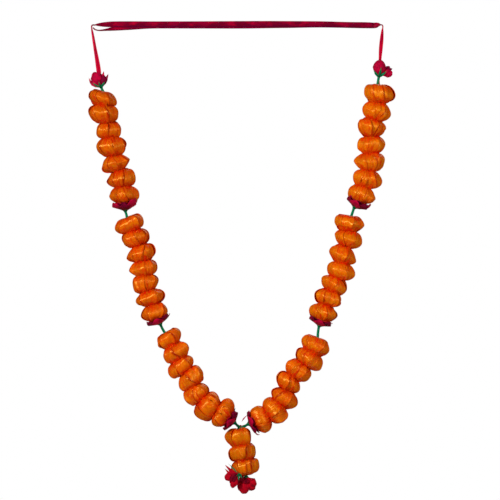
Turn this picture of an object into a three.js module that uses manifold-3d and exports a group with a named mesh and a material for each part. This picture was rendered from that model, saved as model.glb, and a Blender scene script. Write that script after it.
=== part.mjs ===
// A marigold garland made of satin ribbon, hanging by its two ribbon ties.
// Millimetres and degrees. +Z is up, -Y is towards the viewer, and the wall behind is the plane y = 0.
// The origin is in the middle of the ties' top run, on the face that lies against the wall.

import * as THREE from 'three';
import { mergeVertices } from 'three/addons/utils/BufferGeometryUtils.js';
import Module from 'manifold-3d';

const wasm = await Module();
wasm.setup();

// ------------------------------------------------------------------ driving dimensions

const SEAT_GAP = 0.3; // between two pieces that touch
const HALVINGS = 30; // when the place where a stem or string ends is narrowed down
const CUTTING_BLOCK = 90; // side of the block that cuts off what lies beyond a plane, wider than any ball
const WALL_GAP = 0.5; // between the wall and the balls that lie against it

const STRING_RADIUS = 0.8;
const STRING_SIDES = 8;
const STRING_STEP = 11;
const STRING_INSET = 0.025; // how far a string ends inside its bore, in stretches from stop to stop
const BORE_RADIUS = 1.58;
const BORE_SIDES = 6;
const BORE_STEPS = 5;
const KNOT_RADIUS = 2.4;
const KNOT_FACETS = [10, 6]; // round it, and from top to bottom

const BALL_LOBES = 5; // ridges of ribbon round a ball
const PETAL_LOBES = 5;
const CALYX_REACH = 8; // from the calyx's tip to the ends of its sepals, and out from its axis
const RIM_DROP = 0.5; // from a ball's middle to the rim of the rose under it, in half thicknesses
const RIM_RADIUS = 0.93; // of the ball's radius
const STEM_RADIUS = 2.1;
const STEM_STEPS = 2;
const STEM_SEAT = 0.8; // from the top of a ball to the end of the stem that stands on it
const STEM_OVERLAP = 0.02; // how far a stem starts inside its calyx, in stretches from stop to stop

// How deep the valleys between lobes are, as a share of the radius.
const BALL_VALLEY = 0.07;
const CUP_VALLEY = 0.05;
const PETAL_VALLEY = 0.12;
const SEPAL_VALLEY = 0.45;

// Outlines as [share of the radius, share of the length]. A ball's length is measured from its middle.
const BALL_OUTLINE = [[0, -1], [0.45, -0.95], [0.82, -0.56], [1, 0], [0.82, 0.56], [0.45, 0.95], [0, 1]];
const CALYX_OUTLINE = [[0, 0], [0.3, 0], [0.62, 0.4], [1, 0.95], [0, 0.7]];
const CUP_OUTLINE = [[0, 0.03], [0.5, 0.24], [0.82, 0.58], [1, 1], [0, 1]];
const BUD_OUTLINE = [[0, 0.04], [0.5, 0.1], [0.9, 0.3], [1, 0.52], [0.84, 0.76], [0.5, 0.95], [0, 0.97]];
const FLOWER_OUTLINE = [
  [0, 0.03], [0.4, 0.12], [0.8, 0.5], [1, 0.96], [0.88, 1], [0.4, 0.52], [0.3, 0.82], [0, 0.92],
];

const RIBBON_THICKNESS = 0.5;
const SLOT_CLEARANCE = 2; // at each edge of a tie, where it goes down into a bud
const FRONT_RUN_Y = -1.05; // middle of the front tie's thickness along the top run
const BACK_RUN_Y = -0.25; // the back tie lies on the wall

// ------------------------------------------------------------------ the balls and flowers on the string

// A ball is [x, z, width across the string, thickness along it, lean]: a positive lean lifts its right side.
const LEFT_BALLS = [
  [
    [-214.5, -117, 45, 25.5, -12],
    [-213, -142.5, 50, 29, 0],
    [-205.5, -169, 43.5, 27, 0],
    [-200.5, -193.5, 49.5, 30, 3],
    [-193.5, -221, 49, 27, 12],
    [-185, -245, 46, 29, 7],
    [-181, -272, 47, 27, 0],
  ],
  [
    [-172.5, -318.5, 48, 25.5, 20],
    [-162, -341, 46.5, 27, 12],
    [-154, -365, 46.5, 27, 12],
    [-149.5, -389.5, 45.5, 25.5, 8],
    [-146.5, -414, 44, 27, 6],
    [-139.5, -437, 46.5, 25, 12],
    [-132, -458.5, 45, 29, 10],
  ],
  [
    [-109.5, -502.5, 45, 25.5, 30],
    [-97.5, -523, 48, 27, 25],
    [-89, -546.5, 46.5, 24, 35],
    [-74, -564, 46.5, 29, 35],
    [-66, -590, 45, 27, 35],
    [-45.5, -610.5, 49.5, 29, 50],
    [-23, -621.5, 49.5, 24, 58],
  ],
];
const RIGHT_BALLS = [
  [
    [229, -109, 50.5, 28, -3],
    [224, -137.5, 47, 29.5, -10],
    [214.5, -164, 47, 27, -5],
    [215, -192, 45.5, 25, 0],
    [212, -219.5, 49, 28, -5],
    [208, -246.5, 46.5, 28, -8],
    [201, -271, 46.5, 27, -12],
  ],
  [
    [181, -316, 48.5, 25, -8],
    [178, -342.5, 46.5, 27, -15],
    [169.5, -366.5, 46.5, 28, -15],
    [166, -393.5, 47, 26.5, -12],
    [155, -416, 46.5, 26.5, -20],
    [145.5, -436, 45, 27, -15],
    [139, -460, 47, 29, -13],
  ],
  [
    [125.5, -512, 48, 29, -20],
    [116, -534.5, 48, 25.5, -32],
    [97, -552.5, 48, 29, -30],
    [82.5, -571, 45, 26.5, -35],
    [76, -597, 47, 25.5, -28],
    [61, -617.5, 49.5, 27, -47],
    [39, -631, 48, 25.5, -60],
  ],
];
const PENDANT_BALLS = [
  [3, -661, 42.5, 31, 3],
  [8.5, -685.5, 45, 27, 10],
  [12.5, -706, 44, 26, 8],
];

// The tip of each separator rose's calyx, under the last ball of its group, as [x, z].
const LEFT_CALYXES = [[-178.5, -298.5], [-122, -480], [-2.5, -637.5]];
const RIGHT_CALYXES = [[187, -293.5], [131, -483], [17, -639]];
const SEPARATOR_DEPTH = -23; // y of those tips
const KNOT = new THREE.Vector3(5.5, -22, -642.3); // where both sides' strings meet the pendant's

// A top bud stands on its calyx tip, with the string's upper end in its throat.
const LEFT_BUD = {
  tip: new THREE.Vector3(-217.5, -22.5, -101.5),
  throat: new THREE.Vector3(-220.2, -20.8, -86.5),
  length: 28,
  radius: 10.5,
};
const RIGHT_BUD = {
  tip: new THREE.Vector3(227, -23.5, -83.5),
  throat: new THREE.Vector3(228.3, -21.3, -67),
  length: 29,
  radius: 10.5,
  side: { reach: new THREE.Vector3(17, -1.5, 10.5), radius: 7.5 }, // a second, smaller head beside it
};

// A tassel rose hangs under the pendant's last ball and opens away from its calyx tip.
const LEFT_TASSEL = {
  tip: new THREE.Vector3(5, -36, -720),
  facing: new THREE.Vector3(-0.87, -0.15, -0.47),
  length: 21,
  radius: 13,
};
const RIGHT_TASSEL = {
  tip: new THREE.Vector3(14.7, -21.8, -721.6),
  facing: new THREE.Vector3(0.05, 0.1, -1),
  length: 28.5,
  radius: 14,
};
const PENDANT_END = new THREE.Vector3(14.4, -22.4, -720); // where the pendant's string divides in two
const TAIL_BEND = new THREE.Vector3(11.8, -26, -722.2); // on the tail that goes to the left tassel rose
const TAIL_STEM = [0.45, 0.68]; // the part of that tail that runs in the rose's short stem
const TAIL_DEPTH = 5; // of a string's end inside a tassel rose

// ------------------------------------------------------------------ the ribbon ties

// A station is [x, y, z, width, twist]: at 0 the ribbon's face looks at the viewer, at 90 at the pin.
const LEFT_TIE = [
  [-220.6, -20.4, -85, 6, 0],
  [-221.5, -17.2, -73, 7.4, 0],
  [-224.2, -12.5, -55, 6.4, 5],
  [-227.2, -8.8, -38, 5.2, 20],
  [-230.2, -5.8, -20, 4.6, 40],
  [-232.3, -4.2, -8, 4.5, 65],
  [-233.3, -3.6, -2.6, 4.5, 90],
  [-232.9, -3.6, -0.4, 4.5, 90],
  [-231.4, -3.6, 0.8, 4.5, 90],
  [-228.4, -3.6, 0.8, 4.5, 90],
  [-224, -3.4, 1, 6, 60],
  [-216, -2.7, 1.3, 7.5, 32],
  [-204, -1.5, 1.6, 9, 6],
  [-188, FRONT_RUN_Y, 1.8, 9.5, 0],
  [-139, FRONT_RUN_Y, 1.8, 9.3, 0],
  [-60, FRONT_RUN_Y, 1.8, 9.5, 0],
  [10, FRONT_RUN_Y, 2.2, 9.5, 0],
  [80, FRONT_RUN_Y, 2.2, 9.5, 0],
  [139, FRONT_RUN_Y, 1.8, 9.3, 0],
  [181, FRONT_RUN_Y, 0.6, 9.5, 0],
  [210, FRONT_RUN_Y, 0.2, 9.5, 0],
  [217.5, FRONT_RUN_Y, 0.2, 8.6, 0],
];
const RIGHT_TIE = [
  [228.4, -20.8, -65.5, 4.2, 0],
  [229, -18, -55, 4.4, 0],
  [230.2, -13.4, -38, 6, 0],
  [231.8, -8.8, -22, 5.8, 15],
  [233, -5.2, -9, 4.4, 50],
  [233.6, -3.4, -2.6, 4.2, 90],
  [233.2, -3.4, -0.4, 4.2, 90],
  [231.7, -3.4, 0.8, 4.2, 90],
  [228.7, -3.4, 0.8, 4.2, 90],
  [226, -2.4, 0.6, 6, 50],
  [222.5, -1, 0.2, 7.4, 12],
  [219, BACK_RUN_Y, -0.1, 9, 0],
  [181, BACK_RUN_Y, 0.6, 9.5, 0],
  [139, BACK_RUN_Y, 1.2, 9.3, 0],
  [80, BACK_RUN_Y, 0.6, 9.5, 0],
  [10, BACK_RUN_Y, -0.3, 9.5, 0],
  [-60, BACK_RUN_Y, -0.3, 9.5, 0],
  [-139, BACK_RUN_Y, -0.6, 9.3, 0],
  [-175, BACK_RUN_Y, -3, 9, 0],
  [-202, BACK_RUN_Y, -5.9, 5.6, 0],
  [-211, BACK_RUN_Y, -7.2, 3.2, 0],
  [-222, -0.6, -8, 1.8, 0],
  [-228, -1.4, -6.4, 1.8, 0],
  [-230.6, -2, -3.6, 1.8, 0],
];

// ------------------------------------------------------------------ materials

const material = (color, roughness) => new THREE.MeshStandardMaterial({ color, roughness, metalness: 0 });
const ORANGE_SATIN = material(0xf0780a, 0.35);
const CRIMSON_SATIN = material(0xbe002d, 0.35);
const CRIMSON_PETAL = material(0xaa0032, 0.7);
const STRING_THREAD = material(0xd8691a, 0.9);

// ------------------------------------------------------------------ solids

const UP = new THREE.Vector3(0, 0, 1);
const WALL_NORMAL = new THREE.Vector3(0, -1, 0);
const radians = THREE.MathUtils.degToRad;

function toSolid(geometry) {
  const bare = geometry.clone();
  bare.deleteAttribute('normal');
  bare.deleteAttribute('uv');
  const merged = mergeVertices(bare);
  return new wasm.Manifold(new wasm.Mesh({
    numProp: 3,
    vertProperties: new Float32Array(merged.attributes.position.array),
    triVerts: new Uint32Array(merged.index.array),
  }));
}

function toGeometry(solid) {
  const { vertProperties, triVerts } = solid.getMesh();
  const geometry = new THREE.BufferGeometry();
  geometry.setAttribute('position', new THREE.BufferAttribute(vertProperties, 3));
  geometry.setIndex(new THREE.BufferAttribute(triVerts, 1));
  geometry.computeVertexNormals();
  return geometry;
}

// The placing that puts a piece's own z axis along a direction, at a point.
function placing(point, direction) {
  const turn = new THREE.Quaternion().setFromUnitVectors(UP, direction.clone().normalize());
  return new THREE.Matrix4().compose(point, turn, new THREE.Vector3(1, 1, 1));
}

// A mesh whose geometry, made where it belongs, is handed back to its own placing.
function placedMesh(name, solid, place, finish) {
  const geometry = toGeometry(solid).applyMatrix4(place.clone().invert());
  const mesh = new THREE.Mesh(geometry, finish);
  mesh.name = name;
  mesh.applyMatrix4(place);
  return mesh;
}

// An outline turned about z, whose every other meridian is drawn in to make the valleys between lobes.
function lobedLathe(outline, radius, length, lobes, valley) {
  const profile = outline.map(([r, z]) => new THREE.Vector2(r * radius, z * length));
  const geometry = new THREE.LatheGeometry(profile, lobes * 2);
  geometry.rotateX(Math.PI / 2);
  const position = geometry.attributes.position;
  for (let i = 0; i < position.count; i += 1) {
    const angle = Math.atan2(position.getY(i), position.getX(i));
    const pull = 1 - (valley * (1 - Math.cos(lobes * angle))) / 2;
    position.setXY(i, position.getX(i) * pull, position.getY(i) * pull);
  }
  return geometry;
}

// Everything on one side of the plane through a point, as far as any ball reaches.
function halfSpace(point, direction) {
  const block = new THREE.BoxGeometry(CUTTING_BLOCK, CUTTING_BLOCK, CUTTING_BLOCK);
  block.translate(0, 0, CUTTING_BLOCK / 2);
  return toSolid(block.applyMatrix4(placing(point, direction)));
}

// ------------------------------------------------------------------ the string's route

// The part of a curve between two of its parameters, as a curve of its own.
class Stretch extends THREE.Curve {
  constructor(route, from, to) {
    super();
    this.route = route;
    this.from = from;
    this.to = to;
  }

  getPoint(t, target) {
    return this.route.getPoint(THREE.MathUtils.lerp(this.from, this.to, t), target);
  }
}

function roundSection(radius, sides) {
  const corners = [];
  for (let i = 0; i < sides; i += 1) {
    const angle = (2 * Math.PI * i) / sides;
    corners.push(new THREE.Vector2(radius * Math.cos(angle), radius * Math.sin(angle)));
  }
  return new THREE.Shape(corners);
}

function tube(path, radius, sides, steps) {
  return toSolid(new THREE.ExtrudeGeometry(roundSection(radius, sides), { extrudePath: path, steps }));
}

// The last parameter at which a route that runs on towards something is still clear of it.
function lastClear(route, from, to, isClear) {
  let low = from;
  let high = to;
  for (let i = 0; i < HALVINGS; i += 1) {
    const middle = (low + high) / 2;
    if (isClear(route.getPoint(middle))) low = middle;
    else high = middle;
  }
  return low;
}

const clearOfKnot = (point) => point.distanceTo(KNOT) > KNOT_RADIUS + SEAT_GAP;

// ------------------------------------------------------------------ the satin balls

function readBall([x, z, width, thickness, lean]) {
  return {
    centre: new THREE.Vector3(x, -width / 2 - WALL_GAP, z),
    radius: width / 2,
    half: thickness / 2,
    turn: -radians(lean),
  };
}

const ballPlacing = ({ centre, turn }) => new THREE.Matrix4().makeRotationY(turn).setPosition(centre);
const ballAxis = ({ turn }) => UP.clone().applyAxisAngle(new THREE.Vector3(0, 1, 0), turn);

const heightOver = (ball, point) => point.clone().sub(ball.centre).dot(ballAxis(ball)) - ball.half;
const clearOfBall = (ball) => (point) => heightOver(ball, point) > STEM_SEAT;

// A squat ball of ribbon loops, ridged from pole to pole.
function ballSolid(ball, grow = 0) {
  const shape = lobedLathe(BALL_OUTLINE, ball.radius + grow, ball.half + grow, BALL_LOBES, BALL_VALLEY);
  return toSolid(shape.applyMatrix4(ballPlacing(ball)));
}

// The plane on which two neighbouring balls press on each other.
function partingPlane(upper, lower) {
  const share = upper.half / (upper.half + lower.half);
  return {
    point: upper.centre.clone().lerp(lower.centre, share),
    direction: ballAxis(upper).add(ballAxis(lower)).normalize(),
  };
}

function makeBall(name, balls, index, bore) {
  const ball = balls[index];
  let solid = ballSolid(ball).subtract(bore);
  if (index > 0) {
    const { point, direction } = partingPlane(balls[index - 1], ball);
    solid = solid.subtract(halfSpace(point.addScaledVector(direction, -SEAT_GAP / 2), direction));
  }
  if (index < balls.length - 1) {
    const { point, direction } = partingPlane(ball, balls[index + 1]);
    direction.negate();
    solid = solid.subtract(halfSpace(point.addScaledVector(direction, -SEAT_GAP / 2), direction));
  }
  return placedMesh(name, solid, ballPlacing(ball), ORANGE_SATIN);
}

// ------------------------------------------------------------------ the roses

function flowerPart(outline, place, radius, length, valley) {
  return toSolid(lobedLathe(outline, radius, length, PETAL_LOBES, valley).applyMatrix4(place));
}

const calyxSolid = (place) => flowerPart(CALYX_OUTLINE, place, CALYX_REACH, CALYX_REACH, SEPAL_VALLEY);

// A separator rose: a cup of petals round the ball above it, a calyx, and a stem to the next ball.
function makeSeparator(name, ball, tip, stem, bore) {
  const reach = ball.centre.clone().sub(tip);
  const place = placing(tip, reach);
  const rim = reach.length() - RIM_DROP * ball.half;
  const solid = flowerPart(CUP_OUTLINE, place, RIM_RADIUS * ball.radius, rim, CUP_VALLEY)
    .add(calyxSolid(place))
    .subtract(ballSolid(ball, SEAT_GAP))
    .add(stem)
    .subtract(bore);
  return placedMesh(name, solid, place, CRIMSON_PETAL);
}

// A slot down a bud's throat for the end of a ribbon tie.
function throatSlot(stations, length) {
  const [x, y, z, width] = stations[0];
  const end = new THREE.Vector3(x, y, z);
  const next = new THREE.Vector3(...stations[1]);
  const slot = new THREE.BoxGeometry(width + 2 * SLOT_CLEARANCE, RIBBON_THICKNESS + 3 * SEAT_GAP, length);
  slot.translate(0, 0, length / 2 - 2 * SEAT_GAP);
  return toSolid(slot.applyMatrix4(placing(end, next.sub(end))));
}

// A top bud: closed petals with the tie going in at the top, a calyx, and a stem to the first ball.
function makeBud(name, bud, tie, stem, bore) {
  const place = placing(bud.tip, bud.throat.clone().sub(bud.tip));
  let solid = flowerPart(BUD_OUTLINE, place, bud.radius, bud.length, PETAL_VALLEY).add(calyxSolid(place));
  if (bud.side) {
    const { reach, radius } = bud.side;
    solid = solid.add(flowerPart(BUD_OUTLINE, placing(bud.tip, reach), radius, reach.length(), PETAL_VALLEY));
  }
  solid = solid.add(stem).subtract(bore).subtract(throatSlot(tie, bud.length));
  return placedMesh(name, solid, place, CRIMSON_PETAL);
}

// A tassel rose: open petals round a small heart, and a calyx that the string goes into.
function makeTassel(name, { tip, facing, length, radius }, bore, stem) {
  const place = placing(tip, facing);
  let solid = flowerPart(FLOWER_OUTLINE, place, radius, length, PETAL_VALLEY).add(calyxSolid(place));
  if (stem) solid = solid.add(stem);
  return placedMesh(name, solid.subtract(bore), place, CRIMSON_PETAL);
}

// ------------------------------------------------------------------ the ribbon ties

// A flat ribbon: a long box whose cross sections are laid one by one at the stations.
function makeTie(name, stations) {
  const last = stations.length - 1;
  const geometry = new THREE.BoxGeometry(1, 1, 1, 1, 1, last);
  const position = geometry.attributes.position;
  const points = stations.map(([x, y, z]) => new THREE.Vector3(x, y, z));
  for (let i = 0; i < position.count; i += 1) {
    const at = Math.round((position.getZ(i) + 0.5) * last);
    const before = points[Math.max(at - 1, 0)];
    const after = points[Math.min(at + 1, last)];
    const here = points[at];
    const along = after.clone().sub(here).normalize().add(here.clone().sub(before).normalize()).normalize();
    const across = WALL_NORMAL.clone().cross(along).normalize();
    across.applyAxisAngle(along, radians(stations[at][4]));
    const face = along.clone().cross(across);
    const place = here.clone()
      .addScaledVector(across, position.getX(i) * stations[at][3])
      .addScaledVector(face, position.getY(i) * RIBBON_THICKNESS);
    position.setXYZ(i, place.x, place.y, place.z);
  }
  geometry.computeVertexNormals();
  const mesh = new THREE.Mesh(geometry, CRIMSON_SATIN);
  mesh.name = name;
  return mesh;
}

// ------------------------------------------------------------------ the strands

const stringSteps = (path) => Math.ceil(path.getLength() / STRING_STEP);
const stringTube = (path) => tube(path, STRING_RADIUS, STRING_SIDES, stringSteps(path));
const boreTube = (path) => tube(path, BORE_RADIUS, BORE_SIDES, BORE_STEPS);
const stemTube = (path) => tube(path, STEM_RADIUS, STRING_SIDES, STEM_STEPS);

function makeString(name, solid) {
  return placedMesh(name, solid, new THREE.Matrix4(), STRING_THREAD);
}

// One side: a bud, then three groups of balls, each with a separator rose under it, down to the knot.
function makeStrand(side, bud, tie, groups, calyxes) {
  const strand = new THREE.Group();
  const balls = groups.map((group) => group.map(readBall));
  const tips = calyxes.map(([x, z]) => new THREE.Vector3(x, SEPARATOR_DEPTH, z));
  const stops = [bud.throat, bud.tip];
  balls.forEach((group, i) => stops.push(...group.map((ball) => ball.centre), tips[i]));
  stops.push(KNOT);
  const route = new THREE.CatmullRomCurve3(stops, false, 'centripetal');
  const last = stops.length - 1;
  const bore = (from, to) => boreTube(new Stretch(route, from / last, to / last));
  const stemFrom = (stop, isClear) => {
    const end = lastClear(route, stop / last, (stop + 1) / last, isClear);
    return stemTube(new Stretch(route, (stop - STEM_OVERLAP) / last, end));
  };

  strand.add(makeBud(`rose_${side}_top`, bud, tie, stemFrom(1, clearOfBall(balls[0][0])), bore(0, 2)));
  let stop = 2;
  balls.forEach((group, g) => {
    group.forEach((ball, i) => {
      const name = `marigold_${side}_${g + 1}_${i + 1}`;
      strand.add(makeBall(name, group, i, bore(stop + i - 1, stop + i + 1)));
    });
    stop += group.length;
    const next = balls[g + 1]?.[0];
    const stem = stemFrom(stop, next ? clearOfBall(next) : clearOfKnot);
    const name = `rose_${side}_${g + 1}`;
    strand.add(makeSeparator(name, group.at(-1), tips[g], stem, bore(stop - 1, stop + 1)));
    stop += 1;
  });

  const end = lastClear(route, (last - 1) / last, 1, clearOfKnot);
  strand.add(makeString(`string_${side}`, stringTube(new Stretch(route, STRING_INSET / last, end))));
  return strand;
}

// The pendant: balls under the knot, and two tassel roses on the string's two tails.
function makePendant() {
  const pendant = new THREE.Group();
  const balls = PENDANT_BALLS.map(readBall);
  const rightEnd = RIGHT_TASSEL.tip.clone().addScaledVector(RIGHT_TASSEL.facing, TAIL_DEPTH);
  const leftEnd = LEFT_TASSEL.tip.clone().addScaledVector(LEFT_TASSEL.facing, TAIL_DEPTH);
  const stops = [KNOT, ...balls.map((ball) => ball.centre), PENDANT_END, rightEnd];
  const route = new THREE.CatmullRomCurve3(stops, false, 'centripetal');
  const last = stops.length - 1;
  balls.forEach((ball, i) => {
    const bore = boreTube(new Stretch(route, i / last, (i + 2) / last));
    pendant.add(makeBall(`marigold_pendant_${i + 1}`, balls, i, bore));
  });

  const tail = new THREE.CatmullRomCurve3([PENDANT_END, TAIL_BEND, LEFT_TASSEL.tip, leftEnd]);
  const knot = toSolid(new THREE.SphereGeometry(KNOT_RADIUS, ...KNOT_FACETS).translate(...KNOT.toArray()));
  const rightTail = stringTube(new Stretch(route, 0, 1 - STRING_INSET));
  const leftTail = tube(new Stretch(tail, 0, 1 - STRING_INSET), STRING_RADIUS, STRING_SIDES, BORE_STEPS);
  pendant.add(makeString('string_pendant', knot.add(rightTail).add(leftTail)));

  const rightBore = boreTube(new Stretch(route, (last - 1) / last, 1));
  pendant.add(makeTassel('rose_tassel_right', RIGHT_TASSEL, rightBore));
  const leftStem = stemTube(new Stretch(tail, ...TAIL_STEM));
  pendant.add(makeTassel('rose_tassel_left', LEFT_TASSEL, boreTube(tail), leftStem));
  return pendant;
}

const garland = new THREE.Group();
garland.add(makeStrand('left', LEFT_BUD, LEFT_TIE, LEFT_BALLS, LEFT_CALYXES));
garland.add(makeStrand('right', RIGHT_BUD, RIGHT_TIE, RIGHT_BALLS, RIGHT_CALYXES));
garland.add(makePendant());
garland.add(makeTie('tie_left', LEFT_TIE), makeTie('tie_right', RIGHT_TIE));

export default garland;
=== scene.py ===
import math
import random

import bpy
import numpy as np
from mathutils import Matrix, Vector, noise


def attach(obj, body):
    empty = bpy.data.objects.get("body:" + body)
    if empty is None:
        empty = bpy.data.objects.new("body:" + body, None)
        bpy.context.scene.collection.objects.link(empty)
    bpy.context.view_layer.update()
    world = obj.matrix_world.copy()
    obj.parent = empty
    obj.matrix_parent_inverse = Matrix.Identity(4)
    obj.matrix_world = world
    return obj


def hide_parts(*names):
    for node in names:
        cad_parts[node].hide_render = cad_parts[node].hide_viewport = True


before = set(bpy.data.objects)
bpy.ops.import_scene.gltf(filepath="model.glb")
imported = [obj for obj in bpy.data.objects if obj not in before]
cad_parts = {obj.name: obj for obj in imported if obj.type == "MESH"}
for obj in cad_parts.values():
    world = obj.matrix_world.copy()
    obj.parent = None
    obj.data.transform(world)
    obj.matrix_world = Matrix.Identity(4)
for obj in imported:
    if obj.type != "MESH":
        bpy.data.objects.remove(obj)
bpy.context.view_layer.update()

# The garland hangs from its two ribbon ties. Metres, +Z up, -Y towards the viewer, its back at y = 0.

MM = 0.001
CENTIMETRES = 100  # in a metre
SHORTEST_CHORD = 1e-9  # the least spacing that a smooth curve reckons with, so that it never divides by 0

# --- driving dimensions ---

PIXEL = 0.0016  # one pixel of the 500 by 500 photograph, at the garland
VIEW_PIXELS = 500
VIEW_CENTRE = Vector((0.0208, -0.025, -0.36))
VIEW_DISTANCE = 14.0
SENSOR_WIDTH = 36

FLOOR_Z = -1.9
FLOOR_RADIUS = 0.5
SURROUND_LIGHT = (0.36, 0.36, 0.36)
SURROUND_GLOSS = (0.34, 0.12, 0.0)

TIE_WIDTH = 9.5 * MM
TIE_THICKNESS = 0.35 * MM
TIE_STEP = 3 * MM
TIE_COLUMNS = 16
TIE_PLEAT = 1.1 * MM  # how deep the pleats of a gathered tie are
TIE_RIPPLE = 0.25 * MM  # and how high the ripples of a flat one
LEFT_TIE_CREASE = 1.1 * MM  # how high the crease along a flat tie stands
RIGHT_TIE_CREASE = 0.25 * MM

RIBBON_THICKNESS = 0.35 * MM
LOOP_COLUMNS = 26
CORE_COLUMNS = 14
LOOP_ROWS = 28
LOOP_START = 0.04  # how far from each pole a loop starts, as a share of the way between them
FLAT_KNEE = 0.8  # how high a loop starts to bend over, as a share of the height of its flat top
POLE_DIMPLE = 0.12  # how deep the string draws a ball in at its poles, as a share of its half height
DIMPLE_RADIUS = 0.35  # and how wide, as a share of its radius
LOOP_MAX_ANGLE = 1.25  # the widest loop at the back of a ball, from edge to edge
LOOP_OVERLAP = 0.05  # how far the loop on top runs past a seam
LOOP_UNDERLAP = 0.3  # how far a loop runs on under its neighbour
LOOP_WANDER = 0.04  # how far its edge strays from that
SLIT_HEIGHT = 0.28  # how far a slit opens up and down, as a share of the ball's half height
SLIT_PULL = 0.1  # how far it draws back the edge on top
SLIT_GAP = 0.04  # and how far short of the seam it draws the edge under it
TUCK_DEPTH = 0.4 * MM  # how far below its neighbour's edge a loop goes under it, besides half the edge's lift
TUCK_SLOPE = 12 * MM  # and how much further for each radian
CORE_LOOPS = 6
CORE_LIFT = 0.2 * MM
CORE_REACH = 1.15  # how far up and down the core reaches, as a share of the ball's half height
TOP_CROWN = 0.85  # and how far up in the first ball of a group
SEAM_SLANT = 0.35  # how far round the ball a seam's upper end may lie from its middle
SEAM_BOW = 0.25  # and how far both its ends may
EDGE_SHADE = 0.08 / MM  # how far in from a loop's edge the painted shade of its edge reaches, for the edge's lift
TUCK_SHADE = 0.1 / MM  # and how far out the painted shade shows where the loop goes under its neighbour
SHADED_LIFT = 1.5 * MM  # the lift of an edge that has its full painted shade

PETAL_THICKNESS = 0.45 * MM
PETAL_STEP = 0.8  # in millimetres, as all of a petal's measures
PETAL_COLUMNS = 8
PETAL_ROWS = 10
GROWN_STEPS = 8
SEPAL_THICKNESS = 0.5 * MM
CUP_ROWS = 5
CUP_HEIGHT = 4 * MM
STEM_RADIUS = 2.1 * MM
STEM_STEP = 1.5 * MM
STEM_SIDES = 12
WRAP_RADIUS = 3.0 * MM
WRAP_TOP = Vector((0, 0, -0.6 * MM))  # where the green wrap starts, from the knot
STEM_JOIN = Vector((0.4, -3, -3.2)) * MM  # where the last two stems meet, from the knot

# --- places repeated from the construction ---

# The ties' stations as (x, y, z, width, twist in degrees), each from its bud to its far end.
LEFT_TIE = [
    (-0.2206, -0.0204, -0.085, 0.006, 0),
    (-0.2215, -0.0172, -0.073, 0.0074, 0),
    (-0.2242, -0.0125, -0.055, 0.0064, 5),
    (-0.2272, -0.0088, -0.038, 0.0052, 20),
    (-0.2302, -0.0058, -0.02, 0.0046, 40),
    (-0.2323, -0.0042, -0.008, 0.0045, 65),
    (-0.2333, -0.0036, -0.0026, 0.0045, 90),
    (-0.2329, -0.0036, -0.0004, 0.0045, 90),
    (-0.2314, -0.0036, 0.0008, 0.0045, 90),
    (-0.2284, -0.0036, 0.0008, 0.0045, 90),
    (-0.224, -0.0034, 0.001, 0.006, 60),
    (-0.216, -0.0027, 0.0013, 0.0075, 32),
    (-0.204, -0.0015, 0.0016, 0.009, 6),
    (-0.188, -0.00105, 0.0018, 0.0095, 0),
    (-0.139, -0.00105, 0.0018, 0.0093, 0),
    (-0.06, -0.00105, 0.0018, 0.0095, 0),
    (0.01, -0.00105, 0.0022, 0.0095, 0),
    (0.08, -0.00105, 0.0022, 0.0095, 0),
    (0.139, -0.00105, 0.0018, 0.0093, 0),
    (0.181, -0.00105, 0.0006, 0.0095, 0),
    (0.21, -0.00105, 0.0002, 0.0095, 0),
    (0.2175, -0.00105, 0.0002, 0.0086, 0),
]
RIGHT_TIE = [
    (0.2284, -0.0208, -0.0655, 0.0042, 0),
    (0.229, -0.018, -0.055, 0.0044, 0),
    (0.2302, -0.0134, -0.038, 0.006, 0),
    (0.2318, -0.0088, -0.022, 0.0058, 15),
    (0.233, -0.0052, -0.009, 0.0044, 50),
    (0.2336, -0.0034, -0.0026, 0.0042, 90),
    (0.2332, -0.0034, -0.0004, 0.0042, 90),
    (0.2317, -0.0034, 0.0008, 0.0042, 90),
    (0.2287, -0.0034, 0.0008, 0.0066, 62),
    (0.226, -0.0024, 0.0006, 0.0084, 34),
    (0.2225, -0.001, 0.0002, 0.009, 10),
    (0.219, -0.00025, -0.0001, 0.0092, 0),
    (0.181, -0.00025, 0.0006, 0.0095, 0),
    (0.139, -0.00025, 0.0012, 0.0093, 0),
    (0.08, -0.00025, 0.0006, 0.0095, 0),
    (0.01, -0.00025, -0.0003, 0.0095, 0),
    (-0.06, -0.00025, -0.0003, 0.0095, 0),
    (-0.139, -0.00025, -0.0006, 0.0093, 0),
    (-0.175, -0.00025, -0.003, 0.009, 0),
    (-0.202, -0.00025, -0.0059, 0.0056, 0),
    (-0.211, -0.00025, -0.0072, 0.0032, 0),
    (-0.222, -0.0006, -0.008, 0.0018, 0),
    (-0.228, -0.0014, -0.0064, 0.0018, 0),
    (-0.2306, -0.002, -0.0036, 0.0018, 0),
]

# The tips of the roses' calyxes.
SEPARATOR_TIPS = {
    "left": [(-0.1785, -0.023, -0.2985), (-0.122, -0.023, -0.48), (-0.0025, -0.023, -0.6375)],
    "right": [(0.187, -0.023, -0.2935), (0.131, -0.023, -0.483), (0.017, -0.023, -0.639)],
}
KNOT = Vector((0.0055, -0.022, -0.6423))
LEFT_BUD_TIP = Vector((-0.2175, -0.0225, -0.1003))
RIGHT_BUD_TIP = Vector((0.227, -0.0235, -0.0835))
LEFT_TASSEL_TIP = Vector((0.005, -0.036, -0.72))
LEFT_TASSEL_FACING = Vector((-0.87, -0.15, -0.47))
RIGHT_TASSEL_TIP = Vector((0.0147, -0.0218, -0.7216))
RIGHT_TASSEL_FACING = Vector((0.05, 0.1, -1))
PENDANT_END = Vector((0.0144, -0.0224, -0.72))

GROUPS = 3
GROUP_BALLS = 7

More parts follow.
